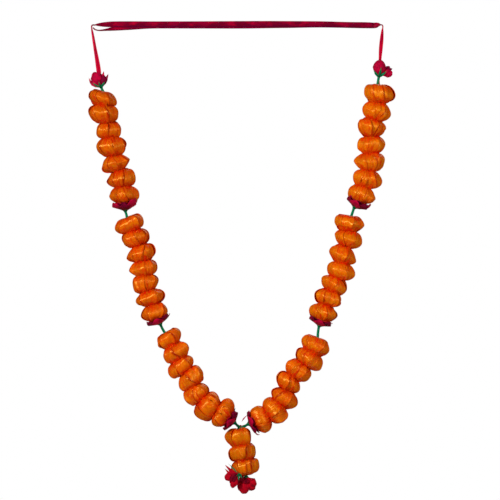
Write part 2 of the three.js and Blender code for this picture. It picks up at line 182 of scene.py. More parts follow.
# How each ball lies, as (ends, seams). Its ends are (roundness, height) on the left and then on the right: an
# end of roundness 2 is an ellipse's, one of less is pointed and one of more is blunt, and its tip is that
# high, from -1 to 1. A seam is (place, top, lift) or, where it opens in a slit, (place, top, lift, height of
# the slit): its place is from -1 at the left edge of the ball to 1 at the right, top says which loop lies on
# top, and lift is how far that edge stands off in millimetres.
LEFT, RIGHT = -1, 1
BALLS = {
    "left_1": [
        ((2.3, 0.1, 1.75, -0.42), ((-0.55, LEFT, 0.3), (0.5, LEFT, 1.2))),
        ((2, 0.1, 2.1, -0.1), ((-0.68, RIGHT, 0.8, -0.1), (0.27, LEFT, 1.8))),
        ((2.3, -0.1, 2.1, 0.1), ((-0.75, RIGHT, 0.5), (0.05, RIGHT, 1.4, 0.5), (0.85, LEFT, 0.6))),
        ((2.1, -0.1, 2.1, 0), ((-0.76, RIGHT, 1.6), (0.12, LEFT, 0.6, 0), (0.84, LEFT, 1.4))),
        ((1.75, -0.2, 1.38, 0), ((-0.6, RIGHT, 1.2), (0.02, LEFT, 0.6), (0.76, LEFT, 1.6))),
        ((1.75, -0.2, 2.3, 0.1), ((-0.6, RIGHT, 1.2), (0.15, LEFT, 1.8))),
        ((1.75, -0.1, 2.2, 0.1), ((-0.5, LEFT, 0.8, 0), (0.22, RIGHT, 0.9, -0.6))),
    ],
    "left_2": [
        ((1.88, -0.2, 2.5, 0.1), ((-0.62, RIGHT, 0.9), (0.6, LEFT, 1.2))),
        ((2.2, 0, 1.88, 0.1), ((-0.7, RIGHT, 0.6), (0, LEFT, 1.2), (0.75, RIGHT, 0.8, 0.3))),
        ((1.62, -0.1, 2.4, 0.1), ((-0.62, RIGHT, 0.9, 0), (0.1, LEFT, 1), (0.4, LEFT, 0.6))),
        ((1.88, -0.1, 2.3, 0.1), ((-0.9, RIGHT, 1.2), (0.2, RIGHT, 0.5), (0.7, LEFT, 0.8))),
        ((3.2, 0, 1.88, 0.3), ((-0.8, RIGHT, 0.8, -0.6), (-0.12, LEFT, 0.8), (0.75, LEFT, 0.9))),
        ((1.88, -0.2, 2.4, 0.1), ((-0.65, RIGHT, 1.3), (0.5, LEFT, 0.5))),
        ((1.75, -0.2, 2.1, 0.1), ((-0.4, RIGHT, 1.1), (0.7, LEFT, 1.3, 0.4))),
    ],
    "left_3": [
        ((2, -0.1, 2.6, 0.1), ((-0.8, LEFT, 0.6), (0.38, LEFT, 1.7, 0.7))),
        ((2.6, -0.2, 2.1, 0.1), ((-0.88, RIGHT, 0.7, 0), (-0.15, RIGHT, 1.8, -0.8))),
        ((2.6, -0.2, 2.1, 0.1), ((-0.45, LEFT, 0.7, 0.5), (0.52, LEFT, 1.3))),
        ((2.3, -0.3, 2.6, 0.1), ((-0.1, RIGHT, 1.5), (0.7, LEFT, 0.6))),
        ((2.2, -0.1, 2.1, 0), ((-0.85, RIGHT, 0.8, -0.3), (-0.2, RIGHT, 1.3), (0.6, LEFT, 1))),
        ((2.6, -0.1, 2.2, 0.2), ((-0.6, LEFT, 0.5), (0.74, LEFT, 1.7), (0.45, RIGHT, 0.4, 0.1))),
        ((2.3, 0, 2.4, 0.1), ((-0.68, RIGHT, 1.4), (-0.05, LEFT, 0.5, 0), (0.5, LEFT, 0.9, 0.3))),
    ],
    "right_1": [
        ((2.9, 0, 1.9, -0.3), ((-0.38, RIGHT, 1.2), (0.24, LEFT, 1.3))),
        ((1.88, 0.1, 1.88, -0.2), ((-0.1, RIGHT, 0.4), (0.54, LEFT, 1.2))),
        ((2.3, 0.2, 1.75, -0.1), ((0, LEFT, 0.7), (0.55, RIGHT, 0.8))),
        ((2.5, 0, 2.2, 0.1), ((-0.18, RIGHT, 0.8), (0.5, LEFT, 0.5))),
        ((1.62, -0.1, 2.3, 0.1), ((-0.17, RIGHT, 1), (0.52, LEFT, 1.2))),
        ((2.1, 0.1, 2, -0.1), ((-0.36, RIGHT, 0.9, -0.4), (0, RIGHT, 0.7), (0.62, LEFT, 1.5))),
        ((2.6, 0.1, 1.5, -0.2), ((-0.5, RIGHT, 0.6), (0.15, LEFT, 0.6), (0.75, LEFT, 0.7))),
    ],
    "right_2": [
        ((3.2, 0, 1.75, -0.25), ((-0.55, RIGHT, 0.9), (0.15, LEFT, 0.5))),
        ((1.7, 0.2, 1.88, -0.1), ((-0.42, LEFT, 0.3), (0.45, LEFT, 0.5))),
        ((1.9, 0.1, 1.8, -0.4), ((-0.42, RIGHT, 0.6), (0.3, LEFT, 1.3, 0.9))),
        ((2.1, 0.1, 1.85, -0.1), ((-0.55, RIGHT, 0.6), (0.4, LEFT, 0.5))),
        ((1.7, 0.3, 2.1, -0.3), ((-0.6, RIGHT, 0.5), (0.15, LEFT, 0.8))),
        ((2.1, 0.1, 2.1, -0.1), ((-0.25, RIGHT, 1.4, -0.5), (0.78, LEFT, 1.5))),
        ((2.1, 0.1, 1.65, -0.1), ((-0.5, RIGHT, 0.9, -0.3), (0.25, LEFT, 1.2))),
    ],
    "right_3": [
        ((2.2, 0.1, 2.1, -0.1), ((-0.5, RIGHT, 0.7), (0.5, LEFT, 0.8))),
        ((2, 0.1, 2, -0.2), ((-0.5, RIGHT, 0.6), (0.2, RIGHT, 0.8))),
        ((2, 0.2, 2.3, -0.1), ((-0.85, RIGHT, 0.8), (-0.35, LEFT, 0.5), (0.5, LEFT, 0.5, 0.8))),
        ((2.2, 0.1, 1.88, 0), ((0, LEFT, 1.2), (0.55, RIGHT, 0.6, 0.7))),
        ((1.75, 0.1, 1.88, -0.1), ((-0.48, RIGHT, 1.6, 0), (0.42, LEFT, 0.9))),
        ((2.2, 0.1, 2.2, -0.1), ((-0.4, RIGHT, 0.6), (0.15, LEFT, 0.9), (0.8, LEFT, 0.9))),
        ((2.8, 0.1, 2, -0.2), ((-0.75, RIGHT, 0.4), (0.35, RIGHT, 0.5))),
    ],
    "pendant": [
        ((1.85, 0.1, 2.6, 0.2), ((-0.6, LEFT, 0.3), (0.8, LEFT, 1.6))),
        ((3, 0.1, 3.6, 0.15), ((-0.16, RIGHT, 0.4, 0.95), (0.36, RIGHT, 1.9))),
        ((2.8, -0.15, 2.8, 0.25), ((-0.55, LEFT, 0.5), (0.05, LEFT, 0.8), (0.46, LEFT, 1.8))),
    ],
}

# Balls that are flatter or fuller than the rest, as a share of the usual height.
BALL_HEIGHTS = {
    "left_1_1": 0.83, "left_1_3": 1.08, "left_1_5": 1.05, "left_2_1": 0.92, "left_2_6": 0.94,
    "left_3_1": 0.92, "left_3_2": 0.92, "left_3_5": 1.05, "right_1_1": 0.97, "right_1_2": 1.04,
    "right_1_5": 1.04, "right_2_1": 0.78, "right_2_2": 1.03, "right_2_3": 0.97, "right_2_7": 0.94,
    "right_3_1": 0.88, "right_3_2": 1.05, "right_3_6": 0.95, "right_3_7": 0.95, "pendant_3": 0.95,
}

WALL_NORMAL = Vector((0, -1, 0))

scene = bpy.context.scene
scene.view_settings.view_transform = "Standard"
scene.view_settings.look = "None"

# --- small tools ---


def clamped(value):
    """The value, kept between 0 and 1."""
    return min(max(value, 0.0), 1.0)


def smooth_step(low, high, value):
    """A soft rise from 0 to 1 as the value goes from low to high."""
    t = clamped((value - low) / (high - low))
    return t * t * (3 - 2 * t)


def wobble(*place):
    """Smooth noise from -1 to 1."""
    return noise.noise(Vector(place))


def basis(axis):
    """Two directions square to an axis and to each other, the first as near the viewer as can be."""
    axis = Vector(axis).normalized()
    front = WALL_NORMAL - WALL_NORMAL.dot(axis) * axis
    front.normalize()
    return front, axis.cross(front)


def slope_at(before, here, after, chord, next_chord):
    """A smooth curve's slope at a point, from the points before and after it and the spacing of the three."""
    return (here - before) / chord - (after - before) / (chord + next_chord) + (after - here) / next_chord


def smoothed(points, step):
    """Places on a smooth curve through rows of numbers, about a step apart by their first three numbers."""
    rows = np.array(points, float)
    padded = [2 * rows[0] - rows[1], *rows, 2 * rows[-1] - rows[-2]]
    out = []
    for before, here, after, later in zip(padded, padded[1:], padded[2:], padded[3:]):
        lengths = [np.linalg.norm((b - a)[:3]) for a, b in ((before, here), (here, after), (after, later))]
        chords = [math.sqrt(max(length, SHORTEST_CHORD)) for length in lengths]
        slope = slope_at(before, here, after, *chords[:2]) * chords[1]
        slope_after = slope_at(here, after, later, *chords[1:]) * chords[1]
        steps = max(2, math.ceil(lengths[1] / step))
        for k in range(steps):
            t = k / steps
            out.append((2 * t**3 - 3 * t**2 + 1) * here + (t**3 - 2 * t**2 + t) * slope
                       + (3 * t**2 - 2 * t**3) * after + (t**3 - t**2) * slope_after)
    out.append(rows[-1])
    return np.array(out)


class Shell:
    """The sheets of one piece, collected as vertices, faces and two sets of marks on the cloth."""

    def __init__(self):
        self.points, self.cloth, self.place = [], [], []
        self.faces, self.slots = [], []

    def add(self, rows, slot=0, closed=False):
        """One sheet: rows of spots, each a point and its place on the cloth, in centimetres and in shares."""
        start = len(self.points)
        width = len(rows[0])
        for row in rows:
            for point, mark, share in row:
                self.points.append(point)
                self.cloth.append(mark)
                self.place.append(share)
        for i in range(len(rows) - 1):
            for j in range(width if closed else width - 1):
                a = start + i * width + j
                b = start + i * width + (j + 1) % width
                self.faces.append((a, b, b + width, a + width))
                self.slots.append(slot)

    def build(self, name, materials, thickness=0.0):
        mesh = bpy.data.meshes.new(name)
        mesh.from_pydata([tuple(p) for p in self.points], [], self.faces)
        for label, marks in (("cloth", self.cloth), ("place", self.place)):
            layer = mesh.uv_layers.new(name=label)
            for loop in mesh.loops:
                layer.data[loop.index].uv = marks[loop.vertex_index]
        for material in materials:
            mesh.materials.append(material)
        for polygon, slot in zip(mesh.polygons, self.slots):
            polygon.material_index = slot
            polygon.use_smooth = True
        piece = bpy.data.objects.new(name, mesh)
        scene.collection.objects.link(piece)
        if thickness:
            solidify = piece.modifiers.new("thickness", "SOLIDIFY")
            solidify.thickness = thickness
            solidify.offset = 0
        return piece


def stand_in(piece, node):
    """Put a piece on the garland's one body, in place of a node, whose part it hides."""
    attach(piece, "root")
    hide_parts(node)


# --- materials ---


def linear(color):
    """A colour given as a screen shows it, 0 to 255, as the shader takes it."""
    return tuple(((c / 255 + 0.055) / 1.055) ** 2.4 if c > 10 else c / 255 / 12.92 for c in color)


class Nodes:
    """The node tree of a material or of the surround, with short ways to add and join nodes."""

    def __init__(self, owner, shader="Principled BSDF"):
        owner.use_nodes = True
        self.owner = owner
        self.tree = owner.node_tree
        self.shader = self.tree.nodes[shader]

    def feed(self, socket, value):
        """Give a socket a number, a vector, a colour or what another node puts out."""
        if isinstance(value, bpy.types.NodeSocket):
            self.tree.links.new(value, socket)
        else:
            socket.default_value = (*value, 1) if socket.type == "RGBA" else value

    def set(self, **values):
        """Feed the shader's sockets by name."""
        for name, value in values.items():
            self.feed(self.shader.inputs[name.replace("_", " ")], value)

    def node(self, kind, inputs=(), **values):
        """A new node with its attributes set, and its inputs fed by name or number."""
        made = self.tree.nodes.new(kind)
        for name, value in values.items():
            setattr(made, name, value)
        for name, value in dict(inputs).items():
            self.feed(made.inputs[name], value)
        return made

    def math(self, operation, *values):
        return self.node("ShaderNodeMath", dict(enumerate(values)), operation=operation).outputs["Value"]

    def weighted(self, *parts):
        """The sum of what nodes put out, each times its weight."""
        total, *rest = [self.math("MULTIPLY", value, weight) for value, weight in parts]
        for term in rest:
            total = self.math("ADD", total, term)
        return total

    def marks(self, label):
        return self.node("ShaderNodeUVMap", uv_map=label).outputs["UV"]

    def noise(self, vector, scale, detail=3.0, roughness=0.5):
        """Noise, of one scale or of three where it is drawn out along the cloth."""
        if isinstance(scale, tuple):
            vector = self.node("ShaderNodeMapping", {"Vector": vector, "Scale": scale}).outputs["Vector"]
            scale = 1.0
        inputs = {"Vector": vector, "Scale": scale, "Detail": detail, "Roughness": roughness}
        return self.node("ShaderNodeTexNoise", inputs).outputs["Fac"]

    def ramp(self, factor, *stops):
        """Colours that run through stops, (position, screen colour)."""
        made = self.node("ShaderNodeValToRGB", {"Fac": factor})
        elements = made.color_ramp.elements
        while len(elements) < len(stops):
            elements.new(0.5)
        for element, (position, color) in zip(elements, stops):
            element.position = position
            element.color = (*linear(color), 1)
        return made.outputs["Color"]

    def spread(self, value, low, high, to_low, to_high):
        inputs = {"Value": value, "From Min": low, "From Max": high, "To Min": to_low, "To Max": to_high}
        return self.node("ShaderNodeMapRange", inputs).outputs["Result"]

    def mix(self, factor, a, b):
        """A mix of two colours."""
        made = self.node("ShaderNodeMix", data_type="RGBA")
        sockets = {socket.name: socket for socket in made.inputs if socket.enabled}
        for name, value in (("Factor", factor), ("A", a), ("B", b)):
            self.feed(sockets[name], value)
        return next(socket for socket in made.outputs if socket.enabled)

    def bump(self, height, strength, distance):
        inputs = {"Height": height, "Strength": strength, "Distance": distance}
        self.set(Normal=self.node("ShaderNodeBump", inputs).outputs["Normal"])


def satin(name, colors, glint, roughness, gloss):
    """Satin ribbon: threads and wrinkles along it, a painted highlight on its crest, painted shade at its
    gathered ends.

    The colours are those of the painted shade at its edges, of the painted shade at its gathered ends, of its
    sides, of the painted highlight on its crest and of its faded patches.
    """
    edge, deep, middle, bright, faded = colors
    made = Nodes(bpy.data.materials.new(name))
    cloth = made.marks("cloth")
    tone = made.noise(cloth, (0.9, 0.35, 1), 2.0)
    threads = made.noise(cloth, (26, 1.1, 1), 4.0, 0.6)
    wrinkles = made.noise(cloth, (2.2, 0.5, 1), 3.0, 0.55)
    patches = made.noise(cloth, (0.5, 0.5, 1), 2.0)
    place = made.node("ShaderNodeSeparateXYZ", {"Vector": made.marks("place")})
    painted_edge_shade, along = place.outputs["X"], place.outputs["Y"]
    # Painted light: fullness is 1 on the crest of a loop and 0 at its gathered ends, so it lifts the crest
    # into a painted highlight and sinks the ends into painted shade.
    from_crest = made.math("ABSOLUTE", made.math("SUBTRACT", made.math("MULTIPLY", along, 2), 1))
    fullness = made.spread(from_crest, 0.1, 0.85, 1, 0)
    # The wrinkle streaks in this shade are painted shade of the wrinkles, besides their bump; patches,
    # threads and tone are the ribbon's own.
    shade = made.weighted((wrinkles, 1.0), (patches, 0.8), (threads, 0.2), (fullness, 0.45))
    color = made.ramp(made.math("SUBTRACT", shade, 0.75), (0.25, deep), (0.5, middle), (0.85, bright))
    color = made.mix(made.spread(tone, 0.48, 0.62, 0, 0.75), color, linear(faded))
    made.bump(made.weighted((threads, 0.2), (wrinkles, 0.8)), 0.6, 0.0012)
    tangent = made.node("ShaderNodeTangent", direction_type="UV_MAP", uv_map="cloth")
    made.set(Base_Color=made.mix(painted_edge_shade, color, linear(edge)),
             Roughness=made.spread(threads, 0.3, 0.7, roughness - 0.06, roughness + 0.08),
             Tangent=tangent.outputs["Tangent"], Anisotropic=0.75, Specular_IOR_Level=gloss,
             Specular_Tint=glint, Subsurface_Weight=0.25, Subsurface_Radius=(1, 0.12, 0.03),
             Subsurface_Scale=0.004)
    return made.owner


def petal_cloth(name, deep, middle, bright):
    """Brushed fabric petals: soft, with faint veins, in a colour that has faded unevenly."""
    made = Nodes(bpy.data.materials.new(name))
    cloth = made.marks("cloth")
    veins = made.noise(cloth, (9, 1.2, 1), 4.0, 0.6)
    patches = made.noise(cloth, (1.6, 1.6, 1))
    nap = made.noise(cloth, 30.0, 3.0, 0.6)
    shade = made.weighted((veins, 0.4), (patches, 0.6))
    made.bump(made.weighted((veins, 0.6), (nap, 0.4)), 0.5, 0.0005)
    made.set(Base_Color=made.ramp(shade, (0.36, deep), (0.5, middle), (0.66, bright)),
             Roughness=made.spread(veins, 0.3, 0.7, 0.55, 0.75), Sheen_Weight=0.06, Sheen_Roughness=0.5,
             Sheen_Tint=(0.9, 0.02, 0.2), Specular_IOR_Level=0.3, Specular_Tint=(1, 0.15, 0.3))
    return made.owner


def calyx_plastic():
    """Soft moulded plastic, with ribs that run towards the tips."""
    made = Nodes(bpy.data.materials.new("calyx_green_plastic"))
    cloth = made.marks("cloth")
    ribs = made.noise(cloth, (14, 1.5, 1))
    patches = made.noise(cloth, 2.0, 2.0)
    shade = made.weighted((ribs, 0.5), (patches, 0.5))
    made.bump(ribs, 0.35, 0.0004)
    made.set(Base_Color=made.ramp(shade, (0.3, (0, 74, 44)), (0.52, (0, 114, 68)), (0.75, (12, 146, 90))),
             Roughness=made.spread(patches, 0.3, 0.7, 0.36, 0.52), Specular_Tint=(0.1, 1, 0.6),
             Specular_IOR_Level=0.4)
    return made.owner


def string_cotton():
    """Twisted cotton thread."""
    made = Nodes(bpy.data.materials.new("string_cotton"))
    place = made.node("ShaderNodeTexCoord").outputs["Object"]
    twist = made.node("ShaderNodeTexWave", {"Vector": place, "Scale": 400, "Distortion": 2},
                      wave_type="BANDS", bands_direction="DIAGONAL").outputs["Fac"]
    fuzz = made.noise(place, 900.0, 3.0, 0.6)
    shade = made.weighted((twist, 0.6), (fuzz, 0.4))
    made.bump(shade, 0.6, 0.0003)
    made.set(Base_Color=made.ramp(shade, (0.2, (120, 60, 20)), (0.8, (214, 110, 40))),
             Roughness=made.spread(fuzz, 0.3, 0.7, 0.8, 0.95))
    return made.owner


# Each ribbon's colours are (edge, deep, middle, bright, faded): edge is painted shade at the seams and edges,
# deep is painted shade at the gathered ends and on the ties' level run, bright is a painted highlight on the
# crest, and faded is a random tone.
ORANGE = ((168, 16, 0), (228, 34, 0), (240, 76, 0), (255, 121, 0), (220, 94, 0))
CRIMSON = ((80, 0, 40), (112, 0, 36), (176, 0, 42), (216, 0, 48), (150, 0, 44))
# Painted light: how much darker or lighter the ribbon of each group of balls is painted, as shares of the
# usual red and of the usual green, darker on the left and lighter on the right for light that falls unevenly.
GROUP_PAINTED_LIGHT = {
    "left_1": (0.94, 0.91), "left_2": (0.975, 0.92), "left_3": (1, 1),
    "right_1": (1.01, 1.04), "right_2": (1.01, 1.05), "right_3": (1, 0.99), "pendant": (0.95, 1.01),
}


def tinted(colors, red, green):
    """The same colours with a share of their red and of their green."""
    return tuple((min(255, color[0] * red), color[1] * green, color[2]) for color in colors)


ORANGE_SATINS = {group: satin(f"orange_satin_{group}", tinted(ORANGE, *tint), (1.0, 0.56, 0.1), 0.27, 0.9)
                 for group, tint in GROUP_PAINTED_LIGHT.items()}
CRIMSON_SATIN = satin("crimson_satin_ribbon", CRIMSON, (1.0, 0.08, 0.2), 0.4, 0.45)
# Each pair is a petal cloth and a darker copy of it, painted shade for the petals that lie in shadow.
ROSE_CLOTHS = (petal_cloth("crimson_petal_cloth", (112, 0, 36), (176, 0, 50), (206, 0, 54)),
               petal_cloth("painted_shade_petal_cloth", (60, 0, 26), (112, 0, 40), (144, 0, 46)))
TASSEL_CLOTHS = (petal_cloth("red_petal_cloth", (112, 0, 16), (176, 0, 22), (200, 0, 20)),
                 petal_cloth("painted_shade_red_petal_cloth", (56, 0, 14), (108, 0, 20), (136, 0, 22)))
CALYX_PLASTIC = calyx_plastic()
STRING_COTTON = string_cotton()


# --- camera ---


def aim_camera():
    """The photograph's straight front view, through a long lens."""
    camera = bpy.data.objects.new("camera", bpy.data.cameras.new("camera"))
    scene.collection.objects.link(camera)
    camera.location = VIEW_CENTRE + WALL_NORMAL * VIEW_DISTANCE
    camera.rotation_euler = (math.radians(90), 0, 0)
    camera.data.sensor_width = SENSOR_WIDTH
    camera.data.lens = SENSOR_WIDTH * VIEW_DISTANCE / (VIEW_PIXELS * PIXEL)
    camera.data.clip_end = 100
    scene.camera = camera


aim_camera()

# --- the ribbon ties ---


def tie_rows(spine, crease, seed):
    """Rows of spots across a ribbon: flat where it is wide, gathered in pleats where it is narrow."""
    rows = []
    travelled = 0.0
    last = len(spine) - 1
    for i, (x, y, z, width, twist) in enumerate(spine):
        here = Vector((x, y, z))
        before = Vector(spine[max(i - 1, 0)][:3])
        after = Vector(spine[min(i + 1, last)][:3])
        travelled += (here - before).length
        along = (after - before).normalized()
        across = WALL_NORMAL.cross(along).normalized()
        across.rotate(Matrix.Rotation(math.radians(twist), 3, along))
        face = along.cross(across)
        gather = max(0.0, 1 - width / TIE_WIDTH)
        row = []
        for j in range(TIE_COLUMNS + 1):
            s = 2 * j / TIE_COLUMNS - 1
            pleat = TIE_PLEAT * math.sqrt(gather) * math.sin(1.5 * math.pi * s + 0.6) * (1 - 0.4 * s * s)
            fold = crease * (1 - gather) * max(0.0, 1 - abs(s - 0.3) / 0.75)
            ripple = TIE_RIPPLE * wobble(travelled * 30, s * 1.5, seed) * (1 - gather)
            point = here + across * (s * width / 2 + ripple / 2) + face * (pleat + fold + abs(ripple))
            mark = (s * TIE_WIDTH / 2 * CENTIMETRES, travelled * CENTIMETRES)
            # Painted light in the place marks: the first darkens a strip along the tie's lower edge as
            # painted shade, and the second gives the hanging parts the bright crest colour as a painted
            # highlight and the level run over the top the deep colour as painted shade.
            lowness = 0.5 - 0.5 * s * across.z
            row.append((point, mark, (max(0.0, lowness - 0.6) / 0.4, 0.5 - 0.45 * abs(along.x))))
        rows.append(row)
    return rows


def make_tie(side, stations, crease, seed):
    """A tie, with a crease of some height along it where it lies flat."""
    spine = smoothed(stations, TIE_STEP)
    shell = Shell()
    shell.add(tie_rows(spine, crease, seed))
    piece = shell.build(f"ribbon_tie_{side}", [CRIMSON_SATIN], TIE_THICKNESS)
    stand_in(piece, f"tie_{side}")


make_tie("left", LEFT_TIE, LEFT_TIE_CREASE, 1)
make_tie("right", RIGHT_TIE, RIGHT_TIE_CREASE, 2)

# --- the satin balls ---


def volumes(corners):
    """The volume between the origin and each triangle."""
    return np.einsum("ij,ij->i", corners[:, 0], np.cross(corners[:, 1], corners[:, 2])) / 6


def read_ball(node):
    """Centre, string axis (pointing up), radius and half thickness of a ball, from its solid.

    A ball is flattest along its string, so the axis is the way in which its volume spreads least.
    """
    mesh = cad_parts[node].data
    mesh.calc_loop_triangles()
    points = np.array([v.co for v in mesh.vertices])
    corners = points[np.array([t.vertices for t in mesh.loop_triangles])]
    volume = volumes(corners)
    centre = (corners.sum(1) * volume[:, None]).sum(0) / (4 * volume.sum())
    arms = corners - centre
    volume = volumes(arms)
    total = arms.sum(1)
    spread = np.einsum("i,ija,ijb->ab", volume, arms, arms) + np.einsum("i,ia,ib->ab", volume, total, total)
    axis = Vector(np.linalg.eigh(spread)[1][:, 0])
    if axis.z < 0:
        axis.negate()
    axis.y = 0
    axis.normalize()
    reach = points - centre
    heights = reach @ np.array(axis)
    radius = np.linalg.norm(reach - heights[:, None] * np.array(axis), axis=1).max()
    middle = Vector(centre) + axis * float(heights.max() + heights.min()) / 2
    return middle, axis, float(radius), float(heights.max() - heights.min()) / 2


def ball_profile(ball, look, ends, azimuth, turn):
    """How far out from the string and how far up along it a loop lies, for a turn from pole to pole."""
    _, _, radius, half = ball
    rightness = (1 + math.sin(azimuth)) / 2
    power = 2 / ((ends[0] + (ends[2] - ends[0]) * rightness) * look["roundness"])
    tip = ends[1] + (ends[3] - ends[1]) * rightness + look["shift"]
    out = radius * look["fullness"] * math.sin(turn) ** power
    up = look["height"] * half * math.copysign(abs(math.cos(turn)) ** power, math.cos(turn))
    flat = look["crown" if up > 0 else "flat"] * half
    knee = FLAT_KNEE * flat
    if abs(up) > knee:
        room = flat - knee
        up = math.copysign(knee + room * (1 - math.exp((knee - abs(up)) / room)), up)
    dimple = half * POLE_DIMPLE * max(0.0, 1 - out / (DIMPLE_RADIUS * radius)) ** 1.5
    return out, up - math.copysign(dimple, up) + half * tip * math.sin(turn) ** 3


def seam_and_edge(seam, outward, share, height, seed):
    """The azimuths of a seam and of a loop's edge at it, for a height on the ball from -1 to 1."""
    azimuth, on_top, _, slit, slant, bow = seam
    reach = LOOP_OVERLAP if on_top else LOOP_UNDERLAP
    if slit is not None:
        pull = SLIT_PULL if on_top else LOOP_UNDERLAP + SLIT_GAP
        reach -= pull * math.exp(-(((height - 0.8 * slit) / SLIT_HEIGHT) ** 2))
    reach += LOOP_WANDER * wobble(share * 4, seed, outward)
    middle = azimuth + slant * height + bow * height**2
    return middle, middle + outward * reach


def lapped(on_top, lift, past, from_edge):
    """How far a loop rises at a seam, how much of its corner it keeps, and how much painted edge shade it
    has.

    The spot lies this far past the seam and this far from the loop's own edge, in radians.
    """
    if on_top:
        return lift * smooth_step(-0.3, 0.05, past), 1, clamped(2 - 2 * from_edge / (EDGE_SHADE * lift))
    sunk = (TUCK_DEPTH + 0.5 * lift) * smooth_step(-0.1, 0.08, past) + TUCK_SLOPE * max(0.0, past)
    return -sunk, 1 - smooth_step(-0.4, 0, past), clamped(1 + past / (TUCK_SHADE * lift))


def wrinkled(s, share, ribbon, seed):
    """The height of a loop's wrinkles, from s = -1 to 1 across it and a share from 0 to 1 along it."""
    broad = wobble(s * 1.6 + share * 1.8 + seed, share * 4.5 - s, seed)
    fine = wobble(s * ribbon * 150 + share * 1.5 + seed, share * 2.6, seed)
    finest = wobble(s * ribbon * 380 + share * 2, share * 4.0, seed)
    return (0.95 * broad + 0.3 * fine + 0.16 * finest) * MM


def add_loop(shell, ball, look, ends, left, right):
    """One ribbon loop over a ball from pole to pole, nearly straight across as ribbon is.

    The seam at each side is (azimuth, is the loop on top, lift, slit height, slant, bow).
    """
    centre, axis, radius, half = ball
    front, side = basis(axis)
    seed = look["seed"]
    facing = (left[0] + right[0]) / 2 + look["turned"]
    ribbon = (right[0] - left[0] + 2 * LOOP_UNDERLAP) * radius
    rows = []
    for i in range(LOOP_ROWS + 1):
        share = i / LOOP_ROWS
        turn = math.pi * (LOOP_START + (1 - 2 * LOOP_START) * share)
        belly, height = math.sin(turn), math.cos(turn)
        left_seam, left_edge = seam_and_edge(left, -1, share, height, seed)
        right_seam, right_edge = seam_and_edge(right, 1, share, height, seed)
        row = []
        for j in range(look["columns"] + 1):
            u = j / look["columns"]
            s = 2 * u - 1
            at = left_edge + (right_edge - left_edge) * u
            out, up = ball_profile(ball, look, ends, at, turn)
            if s < 0:
                on_top, lift, past, from_edge = *left[1:3], left_seam - at, at - left_edge
            else:
                on_top, lift, past, from_edge = *right[1:3], at - right_seam, right_edge - at
            rise, kept, painted_edge_shade = lapped(on_top, lift, past, from_edge)
            corner = kept * look["flatness"] * (min(abs(at - facing), 0.65) ** 2 / 2 - 0.07) * radius
            pleat = look["pleat"] * (1 - belly) ** 1.2 * math.sin(math.tau * (look["pleats"] * u + seed))
            depth = pleat + (rise + wrinkled(s, share, ribbon, seed) + corner) * belly
            outwards = front * math.cos(at) + side * math.sin(at)
            point = centre + axis * (up + depth * height) + outwards * (out + depth * belly)
            mark = (s * ribbon / 2 * CENTIMETRES + seed, share * 2.4 * (radius + half) * CENTIMETRES + seed)
            # The painted shade along an edge grows with the edge's lift and fades towards the poles.
            painted_edge_shade *= min(1.0, lift / SHADED_LIFT) * belly**2
            row.append((point, mark, (painted_edge_shade, share * look["marks"])))
        rows.append(row)
    shell.add(rows)


def outer_look(rng):
    """The shape of a loop on the outside of a ball."""
    return {
        "roundness": rng.uniform(0.88, 1.02),
        "fullness": rng.uniform(0.94, 1.0),
        "height": 1.17,
        "flat": 1.0,
        "crown": 1.0,
        "shift": rng.uniform(-0.12, 0.12),
        "flatness": rng.uniform(0.35, 0.8),
        "turned": rng.uniform(-0.16, 0.16),
        "pleats": rng.uniform(1.5, 3.2),
        "pleat": rng.uniform(0.5, 1.3) * MM,
        "columns": LOOP_COLUMNS,
        "marks": 1,
        "seed": rng.uniform(0, 100),
    }


def inner_look(rng, crown):
    """The shape of a loop of the gathered core, which shows between two balls and in the slits."""
    look = outer_look(rng)
    # A core loop's marks stay near its ends, so it takes the deep colour of the gathered ends all over:
    # painted shade.
    look.update(roundness=0.78, fullness=0.87, height=1.5, flat=CORE_REACH, crown=crown, pleats=3.5,
                pleat=1.2 * MM, marks=0.12, columns=CORE_COLUMNS)
    return look


def seam_shape(rng):
    """A seam's slant and bow."""
    return rng.uniform(-SEAM_SLANT, SEAM_SLANT), rng.uniform(-SEAM_BOW, SEAM_BOW)


def seam_ring(rng, seams):
    """The seams all round a ball: those given in front, and evenly spaced ones behind."""
    ring = []
    for place, top, lift, *slit in sorted(seams):
        ring.append((math.asin(place), top, lift * MM, slit[0] if slit else None, *seam_shape(rng)))
    start, end = ring[-1][0], ring[0][0] + math.tau
    behind = math.ceil((end - start) / LOOP_MAX_ANGLE)
    for k in range(1, behind):
        azimuth = start + (end - start) * k / behind + rng.uniform(-0.08, 0.08)
        ring.append((azimuth, rng.choice((LEFT, RIGHT)), rng.uniform(0.3, 0.9) * MM, None, *seam_shape(rng)))
    return ring


def make_ball(label, ends, seams, material):
    """A ball of satin ribbon loops that lap over one another, round a tighter gathered core."""
    name = f"ribbon_ball_{label}"
    rng = random.Random(name)
    core = read_ball(f"marigold_{label}")
    ball = *core[:3], core[3] * BALL_HEIGHTS.get(label, 1)
    shell = Shell()
    ring = seam_ring(rng, seams)
    for k, (azimuth, top, *rest) in enumerate(ring):
        after, next_top, *next_rest = ring[(k + 1) % len(ring)]
        if k + 1 == len(ring):
            after += math.tau
        left = (azimuth, top == RIGHT, *rest)
        right = (after, next_top == LEFT, *next_rest)
        add_loop(shell, ball, outer_look(rng), ends, left, right)
    crown = TOP_CROWN if label.endswith("_1") else CORE_REACH
    for k in range(CORE_LOOPS):
        azimuth = ring[0][0] + math.tau * k / CORE_LOOPS
        seam = (k % 2 == 0, CORE_LIFT, None, 0, 0)
        left = (azimuth, *seam)
        right = (azimuth + math.tau / CORE_LOOPS, *seam)
        add_loop(shell, core, inner_look(rng, crown), ends, left, right)
    stand_in(shell.build(name, [material], RIBBON_THICKNESS), f"marigold_{label}")
    return ball


